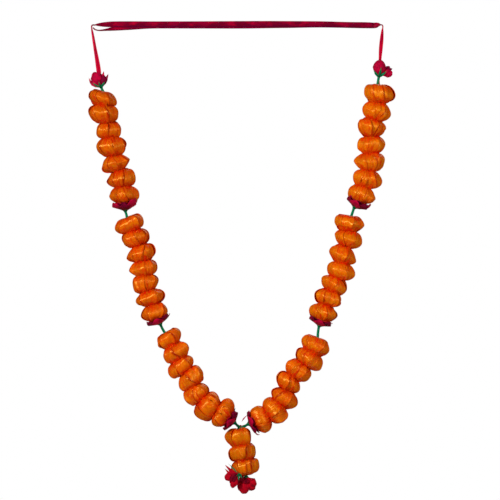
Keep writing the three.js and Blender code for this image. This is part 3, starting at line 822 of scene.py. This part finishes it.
balls = {}
for group, looks in BALLS.items():
    for i, (ends, seams) in enumerate(looks, 1):
        balls[f"{group}_{i}"] = make_ball(f"{group}_{i}", ends, seams, ORANGE_SATINS[group])

# --- the roses ---


class Place:
    """A flower's own frame: a tip, the way it faces, and directions round it."""

    def __init__(self, tip, facing):
        self.tip = Vector(tip)
        self.axis = Vector(facing).normalized()
        self.front, self.side = basis(self.axis)

    def way(self, side, height, front):
        return self.side * side + self.axis * height + self.front * front

    def circle(self, size, height, pitch, travelled, share):
        """Spots round the axis, with their pitch and how far they have travelled on the cloth."""
        spots = []
        for j in range(STEM_SIDES):
            angle = math.tau * j / STEM_SIDES
            point = self.tip + self.way(math.sin(angle) * size, height, math.cos(angle) * size)
            spots.append((point, (j * pitch, travelled), (j / STEM_SIDES, share)))
        return spots


def drawn(path, half_width, inward=(0, 0, -1), **more):
    """A petal along a path of (side, height, front) places; its inner face looks inward."""
    return dict(path=path, inward=inward, half_width=half_width, **more)


def spun(around, profile, half_width, inward_rise=0.8, **more):
    """A petal along (distance from the axis, height) places, in one direction from the axis."""
    sine, cosine = math.sin(math.radians(around)), math.cos(math.radians(around))
    path = [(distance * sine, height, distance * cosine) for distance, height in profile]
    return drawn(path, half_width, (-sine, inward_rise, -cosine), **more)


def grown(around, lean, bend, length, half_width, start=2.0, **more):
    """A petal that leaves the axis at an angle, its lean, which changes by bend on the way."""
    profile = [(1.2, start)]
    step = length / GROWN_STEPS
    for k in range(GROWN_STEPS):
        slope = math.radians(lean + bend * (k + 0.5) / GROWN_STEPS)
        distance, height = profile[-1]
        profile.append((distance + step * math.sin(slope), height + step * math.cos(slope)))
    return spun(around, profile, half_width, 0.4, **more)


def ring(count, first, **shape):
    """Petals of one shape, evenly spaced round the flower."""
    return [grown(first + 360 * k / count, **shape) for k in range(count)]


def dish(around, reach, rise, half_width, upturn, **more):
    """A petal of a flower pressed flat: it runs outwards, and its last part turns up by the share upturn."""
    profile = ((1.4, 2.2), (0.5 * reach, (0.5 - 0.25 * upturn) * rise),
               (0.88 * reach, (0.88 - 0.45 * upturn) * rise), (reach, rise))
    return spun(around, profile, half_width, **more)


def petal_spine(place, path, inward, steps):
    """Evenly spaced points along a petal's path, with the way across it and the way its inner face looks."""
    curve = smoothed(path, PETAL_STEP)
    travelled = np.concatenate([[0], np.cumsum(np.linalg.norm(np.diff(curve, axis=0), axis=1))])
    even = np.linspace(0, travelled[-1], steps + 1)
    points = [place.tip + place.way(*spot) * MM
              for spot in zip(*(np.interp(even, travelled, curve[:, axis]) for axis in range(3)))]
    across, normals = [], []
    for k in range(steps + 1):
        along = (points[min(k + 1, steps)] - points[max(k - 1, 0)]).normalized()
        normal = place.way(*inward)
        normal = (normal - along * normal.dot(along)).normalized()
        if normals and normal.dot(normals[-1]) < 0:
            normal.negate()
        normals.append(normal)
        across.append(along.cross(normal))
    return points, across, normals, float(travelled[-1])


def add_petal(shell, place, seed, path, inward, half_width, blunt=2.4, cut=0.45, cup=0.35, ruffle=0.7,
              base=0.3, shade=0, rows=PETAL_ROWS, columns=PETAL_COLUMNS):
    """One petal or sepal, from the calyx outwards, in millimetres.

    Its end is cut back at the sides: round if blunt is 2 or more, pointed if it is about 1. Its width starts
    at a share, base, of the full width.
    """
    steps = rows * 2
    points, across, normals, length = petal_spine(place, path, inward, steps)
    sheet = []
    for i in range(rows + 1):
        row = []
        for j in range(columns + 1):
            s = 2 * j / columns - 1
            t = i / rows * (1 - cut * abs(s) ** blunt + 0.05 * wobble(s * 3, seed, 0.5))
            spot = clamped(t) * steps
            k = min(int(spot), steps - 1)
            centre, sideways, normal = (along[k].lerp(along[k + 1], spot - k)
                                        for along in (points, across, normals))
            half = half_width * MM * (base + (1 - base) * smooth_step(0, 0.6, t))
            wave = ruffle * MM * t * wobble(s * 1.8 + seed, t * 2.4, seed * 1.7)
            point = centre + sideways * s * half + normal * (cup * half * s * s + wave)
            row.append((point, (s * half_width * 0.1 + seed, t * length * 0.1 + seed), (j / columns, t)))
        sheet.append(row)
    shell.add(sheet, shade)


def add_cup(shell, place, radius):
    """The calyx's cup, which the stem widens into."""
    narrow = STEM_RADIUS * 0.9
    rows = []
    for i in range(CUP_ROWS + 1):
        share = i / CUP_ROWS
        height = CUP_HEIGHT * share
        size = narrow + (radius - narrow) * smooth_step(0, 1, share)
        rows.append(place.circle(size, height - MM, 0.2, height * CENTIMETRES, share))
    shell.add(rows, closed=True)


def stem_piece(name, points, radius=STEM_RADIUS):
    """A plastic stem along smooth points, narrower and closed at both ends."""
    spine = smoothed([tuple(p) for p in points], STEM_STEP)
    rows = []
    last = len(spine) - 1
    for i, point in enumerate(spine):
        along = Vector(spine[min(i + 1, last)]) - Vector(spine[max(i - 1, 0)])
        size = radius * (1 + 0.08 * wobble(i * 0.35, radius * 1000, 3.3)) * (0.6 if i in (0, last) else 1)
        rows.append(Place(point, along).circle(size, 0, 0.11, i * 0.15, 0.5))
    shell = Shell()
    shell.add(rows, closed=True)
    end = last * STEM_SIDES
    shell.faces += [tuple(reversed(range(STEM_SIDES))), tuple(range(end, end + STEM_SIDES))]
    shell.slots += [0, 0]
    return shell.build(name, [CALYX_PLASTIC])


SEPAL = dict(blunt=1.1, cut=0.85, cup=0.4, ruffle=0.3, rows=7, columns=4)
SPIKE = dict(blunt=1.1, cut=0.7, cup=0.3, ruffle=0.3, base=0.6)
DISH = dict(cut=0.35, cup=0.06, ruffle=1.4, base=0.5)
COLLAR = dict(blunt=1.8, cut=0.3, cup=0.1, ruffle=1.6)
BRIGHT, PAINTED_SHADE = 0, 1  # the rose's cloth and a darker copy of it, which is painted shade


def make_rose(name, place, leaves, sepals, stem_points, cup=4.2, cloths=ROSE_CLOTHS, heart=(),
              heart_place=None):
    """A rose of petals, which may have a heart that faces its own way, with its calyx and stem.

    Its pieces all stand for the node of its name.
    """
    rng = random.Random(name)
    petals, calyx = Shell(), Shell()
    for own, group in ((place, leaves), (heart_place, heart)):
        for leaf in group:
            add_petal(petals, own, rng.uniform(0, 50), **leaf)
    add_cup(calyx, place, cup * MM)
    for leaf in sepals:
        add_petal(calyx, place, rng.uniform(0, 50), **{**SEPAL, **leaf})
    stem = stem_piece(f"{name}_stem", stem_points)
    stand_in(petals.build(f"{name}_petals", cloths, PETAL_THICKNESS), name)
    stand_in(calyx.build(f"{name}_calyx", [CALYX_PLASTIC], SEPAL_THICKNESS), name)
    stand_in(stem, name)


# A separator rose is pressed flat under a ball, in a wide dish of petals. These are its outer petals as
# (around, reach, rise, half width, upturn, bluntness): around is 0 in front and 90 on the right.
SEPARATOR_PETALS = {
    "left_1": [
        (-90, 20.4, 12.6, 5, 0.1, 1.1), (-46, 23.5, 16.5, 10, 0.6, 2), (-4, 23.5, 14, 9, 0.6, 1.8),
        (34, 23.5, 19, 10, 0.6, 2.2), (66, 21.5, 22, 9, 0.6, 2), (95, 18.5, 20, 7, 0.6, 1.5),
        (150, 21, 18, 9, 0.6, 1.5), (205, 21, 18, 9, 0.6, 1.5), (250, 19, 15, 8, 0.4, 1.5),
    ],
    "left_2": [
        (-88, 19, 15, 6, 0.3, 1.3), (-48, 22.5, 14, 9, 0.6, 1.8), (-8, 23, 12, 10, 0.6, 2),
        (36, 23, 12.5, 9, 0.6, 1.8), (82, 22, 10.5, 6, 0.2, 1.3), (125, 21, 12, 8, 0.4, 1.5),
        (165, 21, 16, 9, 0.6, 1.5), (215, 20, 16, 9, 0.6, 1.5),
    ],
    "left_3": [
        (-88, 19, 7.5, 6, 0.2, 1.3), (-52, 22.5, 13, 9, 0.6, 1.8), (-12, 24, 15, 10, 0.6, 2),
        (30, 23, 16, 9, 0.6, 1.8), (76, 15.5, 17, 6, 0.6, 1.3), (120, 15.5, 15, 7, 0.6, 1.5),
        (165, 22, 16, 9, 0.6, 1.5), (215, 20, 14, 9, 0.6, 1.5),
    ],
    "right_1": [
        (-90, 16.6, 11.4, 5, 0.2, 1.3), (-50, 21, 13, 9, 0.6, 1.8), (-8, 24, 14, 10, 0.6, 2),
        (36, 23.5, 17, 9, 0.6, 2.2), (68, 21, 20.5, 8, 0.6, 2.4), (125, 17, 15, 8, 0.4, 1.5),
        (175, 21, 16, 9, 0.6, 1.5), (220, 20, 13, 9, 0.5, 1.5),
    ],
    "right_2": [
        (-88, 20.5, 15, 6, 0.2, 1.2), (-48, 23, 14, 9, 0.6, 1.8), (-5, 24, 12, 10, 0.6, 2),
        (38, 22, 14, 9, 0.6, 2), (80, 17, 15, 7, 0.6, 2.2), (130, 18, 15, 8, 0.5, 1.5),
        (175, 21, 16, 9, 0.6, 1.5), (220, 20, 14, 9, 0.6, 1.5),
    ],
    "right_3": [
        (-86, 20, 10.5, 5, 0.4, 1.3), (-50, 23, 11, 9, 0.5, 1.8), (-8, 24, 12, 10, 0.5, 2),
        (32, 24, 12.5, 9, 0.6, 1.8), (68, 24, 13.4, 7, 0.5, 1.4), (125, 16, 11, 8, 0.4, 1.5),
        (175, 21, 13, 9, 0.6, 1.5), (220, 20, 12, 9, 0.5, 1.5),
    ],
}
# Which of them, counted from 0, are of the darker copy of the cloth, which is painted shade.
PAINTED_SHADE_PETALS = (1, 3, 5, 7)
LEFT_1_PAINTED_SHADE_PETALS = (2, 5, 7)
# A thread of the last separator's petal that has come away and curls back.
STRAND = drawn(((-14, 5, 5), (-12.4, 0.6, 6), (-9.8, -4, 6), (-6.8, -7.8, 5)), 0.9, cut=0.4, ruffle=0.1,
               columns=2)
# The way a separator's sepals lie under its dish, as (distance, height).
SEPAL_PROFILE = ((1.2, 0.4), (4.5, 2.2), (9.5, 4.6))


def make_separator(label, ball, tip, stem_end):
    """The rose under a ball: a dish of petals round a collar that reaches up to the ball's underside."""
    name = f"rose_{label}"
    rng = random.Random(name)
    tip = Vector(tip)
    to_ball = ball[0] - tip
    bottom = (to_ball.length - ball[3]) / MM
    dark = LEFT_1_PAINTED_SHADE_PETALS if label == "left_1" else PAINTED_SHADE_PETALS
    outer = [dish(*shape, blunt=blunt, shade=PAINTED_SHADE if k in dark else BRIGHT, **DISH)
             for k, (*shape, blunt) in enumerate(SEPARATOR_PETALS[label])]
    collar = ((2, 3), (9, 0.72 * bottom), (15, 0.95 * bottom), (19, bottom + 2))
    inner = [spun(45 * k + rng.uniform(-8, 8), collar, 8, shade=rng.choice((BRIGHT, PAINTED_SHADE)), **COLLAR)
             for k in range(8)]
    if label == "right_3":
        outer.append(STRAND)
    sepals = [spun(72 * k + rng.uniform(-12, 12), SEPAL_PROFILE, 3.4) for k in range(5)]
    way = (stem_end - tip).normalized()
    bend = tip.lerp(stem_end, 0.5) + way.cross(WALL_NORMAL) * rng.uniform(-0.6, 0.6) * MM
    make_rose(name, Place(tip, to_ball), outer + inner, sepals, [tip - way * 1.5 * MM, bend, stem_end])


def pole(label):
    """Where a stem meets the top of a ball."""
    centre, axis, _, half = balls[label]
    return centre + axis * half * 0.8


for strand in ("left", "right"):
    for group in range(1, GROUPS + 1):
        stem_end = pole(f"{strand}_{group + 1}_1") if group < GROUPS else KNOT + STEM_JOIN
        above = balls[f"{strand}_{group}_{GROUP_BALLS}"]
        make_separator(f"{strand}_{group}", above, SEPARATOR_TIPS[strand][group - 1], stem_end)

wrap_end = pole("pendant_1")
wrap = stem_piece("knot_wrap", [KNOT + WRAP_TOP, KNOT.lerp(wrap_end, 0.5), wrap_end], WRAP_RADIUS)
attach(wrap, "root")

BEHIND = dict(inward=(0, 0, 1))
FROM_LEFT = dict(inward=(1, 0, 0))
FROM_RIGHT = dict(inward=(-1, 0, 0))

# The two top buds and the two tassel roses, whose paths are (to the right, up, towards the viewer).
LEFT_BUD_PETALS = [
    drawn(((-2, 5, -2), (-8, 15, -8), (-6, 25, -3)), 9, **BEHIND),
    drawn(((0, 5, -2), (2, 13, -6), (2, 22, -3)), 7, **BEHIND),
    drawn(((-4, 5, 0), (-13, 14, 0), (-12.5, 24, 0)), 7, **FROM_LEFT),
    drawn(((1, 4, 0), (6, 11, 0), (5, 20, 0)), 6, **FROM_RIGHT),
    drawn(((-2, 6, 0), (-5, 16, 2), (-4, 25.5, 1)), 7.5),
    drawn(((-3, 4, 2), (-10.5, 13, 5), (-10, 25.5, 2)), 5.6, blunt=3),
    drawn(((-2, 4, 4), (-6, 13, 8), (-5, 24.5, 4)), 7.5, blunt=2.6),
    drawn(((0, 3, 3), (3.5, 10, 6), (3.5, 20, 4)), 5.4, blunt=1.5, shade=PAINTED_SHADE),
    drawn(((1, 8, 2), (3, 18, 3), (4.4, 27, 2)), 3.6, **SPIKE),
    drawn(((1, 3, 1), (6.6, 10.5, 3), (8.8, 15.5, 3), (12, 22.6, 2)), 4.0, **SPIKE, shade=PAINTED_SHADE),
    drawn(((-2, 3, 4), (-9, 6, 6), (-15, 13, 4)), 5.2, blunt=2),
    drawn(((-2, 2, 4), (-11, 4.2, 6), (-15.8, 7.6, 6), (-19.6, 16, 4)), 3.6, **SPIKE),
]
LEFT_BUD_SEPALS = [
    drawn(((-1, 1, 4), (-2.4, 5, 7.6), (-3.8, 10, 9.6)), 2.4),
    drawn(((-1, 0.8, 3), (-8, 3.6, 7), (-13.6, 8.2, 7)), 2.2),
    drawn(((0, 0.8, 3), (2.8, 4.6, 6.4), (6.4, 9.8, 6.4)), 2.8),
    drawn(((0, 1, -3), (4, 5, -7), (6, 9, -8)), 2.4, **BEHIND),
    drawn(((-1, 1, -3), (-5, 5, -7), (-8, 10, -8)), 2.4, **BEHIND),
]
RIGHT_BUD_PETALS = [
    drawn(((2, 4, -2), (9, 7, -3), (18, 10, -1)), 6.4, blunt=3, **BEHIND),
    drawn(((3, 6, -1), (10, 13, -1), (17, 18.4, -1)), 5.0, blunt=1.8, shade=PAINTED_SHADE),
    drawn(((3, 6, 0), (11, 11.5, 1), (21, 14.6, 1)), 4.8, blunt=1.5, ruffle=1.2, shade=PAINTED_SHADE),
    drawn(((3, 4, 3), (11, 6.6, 4), (21.6, 7.2, 2)), 6.8, blunt=3, cut=0.35, ruffle=1.2),
    drawn(((1, 4.5, 0), (8, 6.2, 1), (16.5, 6, 1)), 4.6, blunt=3, cut=0.3),
    *ring(5, -8, lean=68, bend=-134, length=32.5, half_width=9.5, blunt=2.6, cup=0.5),
    *ring(3, 30, lean=52, bend=-108, length=30, half_width=8, cup=0.5),
]
RIGHT_BUD_SEPALS = [
    drawn(((0.6, 1, 3), (1.6, 7, 9.4), (2.6, 16.6, 12)), 3.0, base=0.6),
    drawn(((-0.5, 1.4, 3), (-5, 4.4, 7), (-9, 10.8, 7.4)), 3.0, base=0.5),
    drawn(((1.5, 1.4, 3), (6.4, 4.8, 8), (12.4, 11.2, 7.6)), 2.9, base=0.5),
    grown(150, 74, -55, 14, 2.4),
    grown(-140, 74, -55, 14, 2.4),
]
RIGHT_BUD_STEM_END = RIGHT_BUD_TIP + Vector((-2.8, 0, -15)) * MM
BUD_CUP = 3.6


def bud_stem(tip, end):
    """Points along a bud's stem, from inside its calyx to its lower end."""
    return [tip + Vector((0, 0, MM)), tip.lerp(end, 0.5), end]


make_rose("rose_left_top", Place(LEFT_BUD_TIP, (0, 0, 1)), LEFT_BUD_PETALS, LEFT_BUD_SEPALS,
          bud_stem(LEFT_BUD_TIP, pole("left_1_1")), BUD_CUP)
make_rose("rose_right_top", Place(RIGHT_BUD_TIP, (0.06, 0, 1)), RIGHT_BUD_PETALS, RIGHT_BUD_SEPALS,
          bud_stem(RIGHT_BUD_TIP, RIGHT_BUD_STEM_END), BUD_CUP)

LEFT_TASSEL_PETALS = [
    drawn(((-4, -1, -4), (-12, -4, -9), (-20, -7, -7)), 8, **BEHIND),
    drawn(((-3, -3, -4), (-8, -11, -8), (-11, -18, -5)), 7, **BEHIND),
    drawn(((-3, -2, 1), (-10, -8, 2), (-17, -12, 2)), 6.5),
    drawn(((-3, -2, 3), (-5, -9, 5), (-5.5, -15, 5)), 4.6, shade=PAINTED_SHADE),
    drawn(((-4, -2, 5), (-8, -9, 9), (-11, -15, 9), (-11.8, -20.2, 5)), 6.4, blunt=2.8, ruffle=1.2),
    drawn(((-5, 0, 4), (-13, -1, 8), (-19, -3, 9), (-24.8, -4.5, 5)), 7.8, blunt=3, ruffle=1.2),
    drawn(((-4, 1, 6), (-9, 1, 9), (-13, -4, 11), (-15, -10, 10)), 4.0, cup=0.8, shade=PAINTED_SHADE),
    drawn(((-3, 0, 6), (-7, -2, 9), (-9.5, -7, 10), (-10, -12, 9)), 3.6, cup=0.8, shade=PAINTED_SHADE),
    drawn(((-4, 2, 4), (-12, 5, 8), (-18, 10.6, 8), (-24.4, 17, 5)), 3.4, **SPIKE),
    drawn(((-6, 1, 5), (-14, 2, 9), (-19, 5, 9), (-24.4, 10.8, 6)), 3.4, **SPIKE),
    drawn(((0, 0, 0), (2, -3, -1), (3, -10, -3)), 4.4, shade=PAINTED_SHADE, **BEHIND),
]
LEFT_TASSEL_SEPALS = [
    drawn(((0, 0, 2), (-6, 4, 4), (-13.5, 7, 5)), 3.0),
    drawn(((0, 0, 2), (-8, 8, -1), (-19.2, 18.6, -6)), 1.7),
    drawn(((0, 0, 3), (-3, 0, 6), (-6, -1, 9)), 2.8),
    drawn(((0.5, 1, 2), (2, -2, 4), (3.2, -5.6, 4)), 1.5),
    drawn(((-1, 0, 4), (-2.4, -4, 7), (-1.6, -9.4, 7)), 1.9),
]
RIGHT_TASSEL_PETALS = ring(5, 20, lean=68, bend=-106, length=25, half_width=9.5, blunt=2.8, cup=0.45)
RIGHT_TASSEL_FRONT = [
    drawn(((0, -3, -4), (-2, -13, -10), (-3, -24, -6)), 10, blunt=4, cut=0.3, **BEHIND),
    drawn(((1, -3, -3), (7, -10, -8), (12, -15, -5)), 9, blunt=4, cut=0.3, **BEHIND),
    drawn(((-2, -3, 2), (-8, -8, 5), (-13.5, -12.5, 5)), 4.2, shade=PAINTED_SHADE),
    drawn(((-2, -3, 4), (-7, -9, 8), (-8.6, -16, 8), (-8.4, -24.5, 4)), 5.6, blunt=3.4, cut=0.3),
    drawn(((1, -4, 4), (8, -11, 8), (13.4, -18.2, 4)), 8, blunt=3.6, cut=0.3),
    drawn(((1, -4, 3), (6, -12, 6), (11.8, -22.6, 3)), 7.4, blunt=3, cut=0.3),
    drawn(((1, -3, 4), (5, -11, 9), (6.6, -17, 9), (7.6, -23.4, 5)), 8, blunt=3, cut=0.3),
    drawn(((0, -4, 5), (-2, -12, 11), (-3.4, -21, 11), (-3.6, -28.8, 5)), 9, blunt=2.8, cut=0.35, ruffle=1.0),
    drawn(((2, -4, 4), (7, -8.4, 10), (11, -12, 11), (16, -14.6, 6)), 7.4, blunt=3.4, cut=0.3, ruffle=1.0),
    drawn(((-1, -3, 5), (-1, -6, 11), (-1, -11, 14)), 8.4, blunt=2.6, ruffle=1.6, shade=PAINTED_SHADE),
]
RIGHT_TASSEL_SEPALS = [
    grown(12, 50, 24, 7, 2.8, start=-1.5),
    grown(-60, 60, 10, 8, 2.6),
    grown(85, 60, 10, 9, 2.6),
    grown(160, 58, 10, 9, 2.6),
    grown(-130, 58, 10, 9, 2.6),
]
make_rose("rose_tassel_left", Place(LEFT_TASSEL_TIP, (0, 0, 1)), LEFT_TASSEL_PETALS, LEFT_TASSEL_SEPALS,
          [PENDANT_END, PENDANT_END.lerp(LEFT_TASSEL_TIP, 0.5), LEFT_TASSEL_TIP], 3.4, TASSEL_CLOTHS,
          ring(4, 40, lean=40, bend=-50, length=19, half_width=6), Place(LEFT_TASSEL_TIP, LEFT_TASSEL_FACING))
make_rose("rose_tassel_right", Place(RIGHT_TASSEL_TIP, RIGHT_TASSEL_FACING), RIGHT_TASSEL_PETALS,
          RIGHT_TASSEL_SEPALS, [PENDANT_END + Vector((0, 0, 2 * MM)), PENDANT_END, RIGHT_TASSEL_TIP], 4.2,
          TASSEL_CLOTHS, RIGHT_TASSEL_FRONT, Place(RIGHT_TASSEL_TIP, (0, 0, 1)))

# --- the string ---

for strand in ("left", "right", "pendant"):
    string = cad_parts[f"string_{strand}"]
    string.data.materials.clear()
    string.data.materials.append(STRING_COTTON)

# --- floor and light ---


def make_floor():
    """A plain pale disc, well below the garland."""
    bpy.ops.mesh.primitive_circle_add(vertices=96, radius=FLOOR_RADIUS, fill_type="NGON",
                                      location=(0, 0, FLOOR_Z))
    floor = bpy.context.object
    floor.name = "floor"
    made = Nodes(bpy.data.materials.new("pale_floor"))
    made.set(Base_Color=(0.85, 0.85, 0.85), Roughness=0.9)
    floor.data.materials.append(made.owner)


def add_light(name, place, size, power):
    """A soft square light that shines at the middle of the garland."""
    light = bpy.data.objects.new(name, bpy.data.lights.new(name, "AREA"))
    scene.collection.objects.link(light)
    light.data.size = size
    light.data.energy = power
    light.location = place
    light.rotation_euler = (VIEW_CENTRE - Vector(place)).to_track_quat("-Z", "Y").to_euler()


def make_world():
    """A white surround to look at, which lights cloth softly and is dim and warm in its gloss."""
    made = Nodes(bpy.data.worlds.new("surround"), "Background")
    ray = made.node("ShaderNodeLightPath").outputs
    light = made.mix(ray["Is Glossy Ray"], SURROUND_LIGHT, SURROUND_GLOSS)
    made.set(Color=made.mix(ray["Is Camera Ray"], light, (1, 1, 1)))
    scene.world = made.owner


make_floor()
make_world()
add_light("key", (-2.3, -3.1, 0.8), 0.45, 104)
add_light("fill", (1.7, -1.9, 0.2), 1.2, 18)
add_light("back", (0.6, 2.4, 0.8), 1.4, 4)
